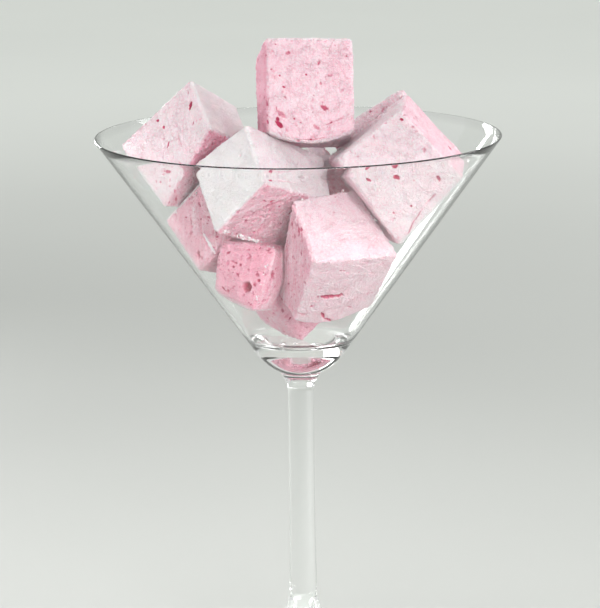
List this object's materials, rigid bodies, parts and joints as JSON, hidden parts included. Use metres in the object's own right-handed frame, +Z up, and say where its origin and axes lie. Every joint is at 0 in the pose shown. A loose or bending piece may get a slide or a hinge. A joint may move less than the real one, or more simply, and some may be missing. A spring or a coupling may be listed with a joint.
{
  "type": "glass of marshmallows",
  "caption": "Hand-cut cubes of pink marshmallow, dusted with powder, heaped in a stemmed cocktail glass with a round foot.",
  "frame": {"origin": "centre of the foot's underside, on the table", "axes": "+Z up the stem, +X to the right of the heap's front, -Y out of the front"},
  "size_m": [0.116, 0.116, 0.1857],
  "materials": {
    "glass": "clear and polished",
    "marshmallow": "soft, pale pink, dusted with white powder"
  },
  "bodies": {
    "root": {"glass": "glass", "marshmallow_top": "marshmallow", "marshmallow_left": "marshmallow", "marshmallow_right": "marshmallow", "marshmallow_centre": "marshmallow", "marshmallow_front": "marshmallow", "marshmallow_low_left": "marshmallow", "marshmallow_low_front": "marshmallow", "marshmallow_back": "marshmallow", "marshmallow_bottom": "marshmallow", "marshmallow_low_back": "marshmallow"}
  },
  "joints": []
}
